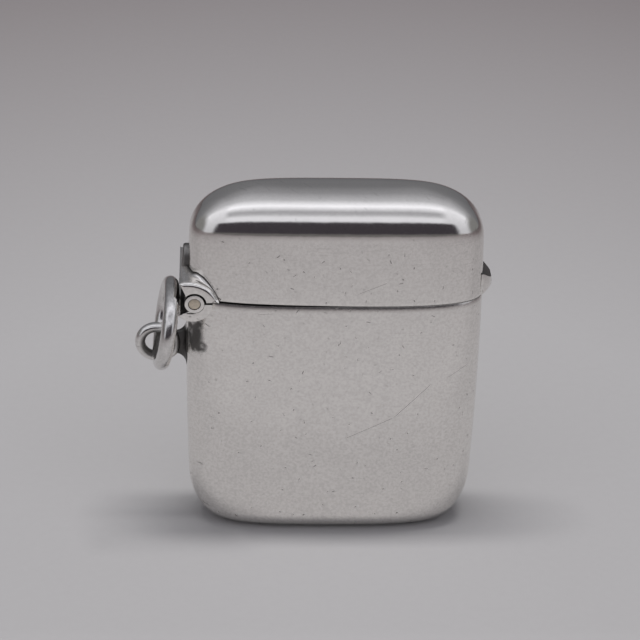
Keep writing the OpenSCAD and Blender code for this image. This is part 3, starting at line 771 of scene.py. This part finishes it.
def wornSilver(name, crown=None, marks=False, rough=silverLook["faceRough"], color=silverLook["color"], shadeAndDark=None):
    # metal with fine grain, soft clouds and dents, nicks and hairlines, and a mask of painted shade and darkening by
    # its own function
    look = wearLook
    material = bpy.data.materials.new(name)
    tree = nodeTree(material)
    place = add(tree, "ShaderNodeTexCoord").outputs["Object"]
    vector = add(tree, "ShaderNodeVectorMath", {0: place, "Scale": 1000.0}, operation="SCALE").outputs[0]
    xyz = add(tree, "ShaderNodeSeparateXYZ", {0: vector})
    fine, cloud = noise(tree, vector, *look["grain"]), noise(tree, vector, *look["cloud"])

    hairs = [ramp(tree, noise(tree, stretched(tree, vector, turn, stretch), 1.0, 1.0), *level)
             for turn, stretch, level in hairLook]
    hairs = times(tree, math2(tree, "MAXIMUM", *hairs), ramp(tree, cloud, 0.4, 0.65))
    nicks = math2(tree, "MAXIMUM", dashes(tree, vector, *look["nicks"]), dashes(tree, vector, *look["pits"]))
    dark = times(tree, nicks, ramp(tree, noise(tree, vector, *look["fade"]), 0.4, 0.66, 0.12, 0.75))
    for start, end, width in scratches if marks else []:
        line = times(tree, lineMark(tree, xyz, start, end, width), look["scratchDark"])
        dark = math2(tree, "MAXIMUM", dark, line)
    dark = math2(tree, "MAXIMUM", dark, times(tree, hairs, look["hairDark"]))

    speck = ramp(tree, fine, 0.38, 0.6, look["speck"], 0.0, False)
    if crown:
        flatness = ramp(tree, xyz.outputs[2], crown[0], crown[1], 1, 0)
        dark = times(tree, dark, kept(tree, flatness, look["crownMarks"]))
        speck = times(tree, speck, kept(tree, flatness, look["crownSpeck"]))
    shade = times(tree, math2(tree, "SUBTRACT", 1.0, speck), ramp(tree, cloud, 0.3, 0.7, 0.965, 1.0))
    shade = times(tree, shade, math2(tree, "SUBTRACT", 1.0, times(tree, dark, look["markShade"])))
    base = mixed(tree, shade, (0, 0, 0, 1), (*color, 1))

    gloss = ramp(tree, fine, 0.3, 0.7, rough * 0.85, rough * 1.2, False)
    # painted shade: the mask darkens the colour towards the dark shade colour and roughens it a little
    if shadeAndDark:
        shadeMask = shadeAndDark(tree, xyz, vector)
        base = mixed(tree, shadeMask, base, (*silverLook["shadeAndDark"], 1))
        gloss = math2(tree, "ADD", gloss, times(tree, shadeMask, look["shadeRough"]))
    if crown:
        gloss = times(tree, gloss, kept(tree, flatness, look["crownRough"]))
    gloss = math2(tree, "ADD", gloss, times(tree, dark, look["markRough"]))

    dents = times(tree, noise(tree, vector, *look["dent"]), look["dentDeep"])
    height = math2(tree, "ADD", dents, times(tree, fine, look["grainDeep"]))
    height = math2(tree, "SUBTRACT", height, times(tree, dark, look["markDeep"]))
    bump = add(tree, "ShaderNodeBump", {"Strength": 1.0, "Distance": 0.001, "Height": height}).outputs[0]
    surface = {"Base Color": base, "Metallic": 1.0, "Roughness": gloss, "Normal": bump}
    shader = add(tree, "ShaderNodeBsdfPrincipled", surface)
    add(tree, "ShaderNodeOutputMaterial", {"Surface": shader.outputs[0]})
    return material


shellSilver = wornSilver("shellSilver", crown=(42.8, 44.6), marks=True, shadeAndDark=shellShadeAndReflection)
ringSilver = wornSilver("ringSilver", rough=0.18, color=(0.80, 0.785, 0.765))
loopSilver = wornSilver("loopSilver", rough=0.16, color=(0.85, 0.835, 0.81), shadeAndDark=loopShade)
thumbSilver = wornSilver("thumbSilver", rough=0.16, shadeAndDark=thumbTopShade)
strapSilver = wornSilver("strapSilver", rough=0.16, shadeAndDark=strapShadeAndDark)
hingeSilver = wornSilver("hingeSilver", rough=0.14, shadeAndDark=hingeGapShade)
innerSilver = wornSilver("innerSilver", rough=0.32, color=(0.72, 0.70, 0.66), shadeAndDark=collarGapShade)
pinMetal = wornSilver("pinMetal", rough=0.34, color=(0.74, 0.66, 0.54))
darkSteel = wornSilver("darkSteel", rough=0.36, color=(0.36, 0.36, 0.37))

for piece, body, nodes, slot, finish in (
        (bodyShell, "case", ["body_shell"], "silver", shellSilver),
        (lidShell, "lid", ["lid_shell"], "silver", shellSilver),
        (collarStrip, "case", ["collar"], "inner_silver", innerSilver),
        (bodyBearer, "case", ["body_bearer"], "silver", hingeSilver),
        (lidBearer, "lid", ["lid_bearer"], "silver", hingeSilver),
        (frontKnuckle, "case", ["front_knuckle"], "silver", hingeSilver),
        (rearKnuckle, "case", ["rear_knuckle"], "silver", hingeSilver),
        (hingePin, "case", ["hinge_pin"], "nickel_silver", pinMetal),
        (lidStrap, "lid", ["lid_strap"], "silver", strapSilver),
        (ringLoop, "case", ["ring_loop"], "silver", loopSilver),
        (loopFoot, "case", ["ring_loop"], "silver", loopSilver),
        (jumpRing, "ring", ["jump_ring"], "silver", ringSilver),
        (thumbPiece, "lid", ["thumb_piece"], "silver", thumbSilver)):
    piece.data.materials.clear()
    piece.data.materials.append(finish)
    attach(piece, body)
    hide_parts(*nodes)

for node, finish in (("striker_plate", darkSteel), ("hinge_spring", darkSteel), ("spring_rivets", innerSilver),
                     ("middle_knuckle", hingeSilver)):
    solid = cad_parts[node]
    solid.data.materials.clear()
    solid.data.materials.append(finish)
print("finishes set")


# the paper's colour carries painted light: it falls off towards a warm dark far from the case and is lifted just in
# front of it
floorLook = dict(side=1500.0, front=200.0, back=1500.0, low=0.02, steps=9,
                 color=(0.394, 0.383, 0.383), warm=(0.03, 0.0, 0.0), fallFrom=0.06, fallTo=0.26, far=0.33,
                 near=1.12, nearFrom=-0.036, nearTo=-0.026)


def makeFloor():
    # flat sheet of paper under the case, which ends a little way in front of it, with painted light: paler there and
    # darker far back, where the light falls off
    look, n = floorLook, floorLook["steps"]
    x, y = np.meshgrid(np.linspace(-look["side"], look["side"], n), np.linspace(-look["front"], look["back"], n),
                       indexing="ij")
    points = np.stack([x, y, 0 * x - look["low"]], -1).reshape(-1, 3)
    floor = makePiece("paperFloor", points, gridFaces(n, n))
    if floor.data.polygons[0].normal.z < 0:
        floor.data.flip_normals()
    material = bpy.data.materials.new("paleFloor")
    tree = nodeTree(material)
    place = add(tree, "ShaderNodeTexCoord").outputs["Object"]
    away = add(tree, "ShaderNodeVectorMath", {0: place}, operation="LENGTH").outputs["Value"]
    # painted light: the colour falls off with distance from the case
    paintedFalloff = ramp(tree, away, look["fallFrom"], look["fallTo"], 1.0, look["far"], False)
    grain = ramp(tree, noise(tree, place, 900.0, 3.0), 0.3, 0.7, 0.985, 1.0, False)
    depth = add(tree, "ShaderNodeSeparateXYZ", {0: place}).outputs[1]
    # painted light: paler just in front of the case
    near = ramp(tree, depth, look["nearFrom"], look["nearTo"], look["near"], 1.0)
    base = mixed(tree, times(tree, paintedFalloff, grain), (*look["warm"], 1), (*look["color"], 1))
    base = add(tree, "ShaderNodeVectorMath", {0: base, "Scale": near}, operation="SCALE").outputs[0]
    shader = add(tree, "ShaderNodeBsdfPrincipled", {"Base Color": base, "Roughness": 0.9, "Specular IOR Level": 0.1})
    add(tree, "ShaderNodeOutputMaterial", {"Surface": shader.outputs[0]})
    floor.data.materials.append(material)


makeFloor()

# room light by the angle round the case's long axis, 0 front, 90 overhead, 180 behind, in the middle and to the sides
roomSteps = [(0, 0.6), (26, 0.78), (35, 0.78), (43, 0.44), (50, 0.38), (66, 1.08), (84, 0.5), (110, 0.28),
             (140, 0.18), (180, 0.14)]
sideSteps = [(0, 0.55), (40, 0.7), (68, 0.85), (86, 0.5), (110, 0.33), (140, 0.2), (180, 0.14)]
# where the sides begin, where they fall off, a dark figure in front by its half width and height on a wall one unit
# away, and a plain backdrop below the horizon, greyer under the figure
roomLook = dict(tint=(0.98, 0.99, 1.06), sides=(0.46, 0.56), ends=(0.84, 0.96), endLevel=0.2,
                dark=(0.045, 0.04, 0.047), darkWide=(0.8, 1.0), darkHigh=(0.37, 0.5), backdrop=(0.36, 0.35, 0.35),
                darkLow=(0.13, 0.125, 0.125), below=(-0.13, -0.1))


def makeRoom():
    # soft room of light bands with a dark figure, the same for every ray
    world = bpy.data.worlds.new("softRoom")
    bpy.context.scene.world = world
    tree = nodeTree(world)
    way = add(tree, "ShaderNodeSeparateXYZ", {0: add(tree, "ShaderNodeTexCoord").outputs["Generated"]})
    front = math2(tree, "MULTIPLY", way.outputs[1], -1.0)
    angle = math2(tree, "ARCTAN2", math2(tree, "ABSOLUTE", way.outputs[2]), front)
    angle = math2(tree, "DIVIDE", angle, math.pi)

    def steps(stops):
        # colour ramp with a stop at each angle
        node = add(tree, "ShaderNodeValToRGB", {0: angle})
        elements = node.color_ramp.elements
        for _ in stops[2:]:
            elements.new(0.5)
        for element, (degrees, level) in zip(elements, stops):
            element.position = degrees / 180
            element.color = (*(level * part for part in roomLook["tint"]), 1)
        return node.outputs[0]

    across = math2(tree, "ABSOLUTE", way.outputs[0])
    light = mixed(tree, ramp(tree, across, *roomLook["sides"]), steps(roomSteps), steps(sideSteps))
    light = mixed(tree, ramp(tree, across, *roomLook["ends"]), light, (*[roomLook["endLevel"]] * 3, 1))
    ahead = math2(tree, "MAXIMUM", front, 0.001)
    wide, high = math2(tree, "DIVIDE", across, ahead), math2(tree, "DIVIDE", way.outputs[2], ahead)
    figure = times(tree, ramp(tree, wide, *roomLook["darkWide"], 1, 0), ramp(tree, high, *roomLook["darkHigh"], 1, 0))
    below = ramp(tree, way.outputs[2], *roomLook["below"], 1, 0)
    light = mixed(tree, below, light, (*roomLook["backdrop"], 1))
    dark = mixed(tree, below, (*roomLook["dark"], 1), (*roomLook["darkLow"], 1))
    light = mixed(tree, figure, light, dark)
    back = add(tree, "ShaderNodeBackground", {"Color": light, "Strength": 1.0})
    add(tree, "ShaderNodeOutputWorld", {"Surface": back.outputs[0]})


makeRoom()

lampLook = dict(place=(-0.03, 0.038, 0.9), size=(0.6, 0.07), power=5.7)


def makeLamp():
    # soft strip lamp straight overhead, left out of the reflections
    data = bpy.data.lights.new("overhead", "AREA")
    data.shape, data.energy = "RECTANGLE", lampLook["power"]
    data.size, data.size_y = lampLook["size"]
    lamp = bpy.data.objects.new("overhead", data)
    bpy.context.scene.collection.objects.link(lamp)
    lamp.location = lampLook["place"]
    lamp.visible_glossy = False


makeLamp()

camera = dict(place=(-0.0160, -0.2729, 0.1843), right=(0.99896, -0.03706, 0.02647),
              forward=(0.0453, 0.8686, -0.4934), lens=136.72)


def makeCamera():
    # long lens at the place and turn that fit the case's outline
    data = bpy.data.cameras.new("camera")
    data.sensor_width, data.lens = 36.0, camera["lens"]
    data.clip_start, data.clip_end = 0.01, 20.0
    view = bpy.data.objects.new("camera", data)
    bpy.context.scene.collection.objects.link(view)
    forward = Vector(camera["forward"]).normalized()
    right = Vector(camera["right"])
    right = (right - forward * right.dot(forward)).normalized()
    up = right.cross(forward)
    turn = Matrix((right, up, -forward)).transposed().to_4x4()
    view.matrix_world = Matrix.Translation(camera["place"]) @ turn
    bpy.context.scene.camera = view


makeCamera()
bpy.context.scene.view_settings.view_transform = "Standard"
print("floor, light and camera set")
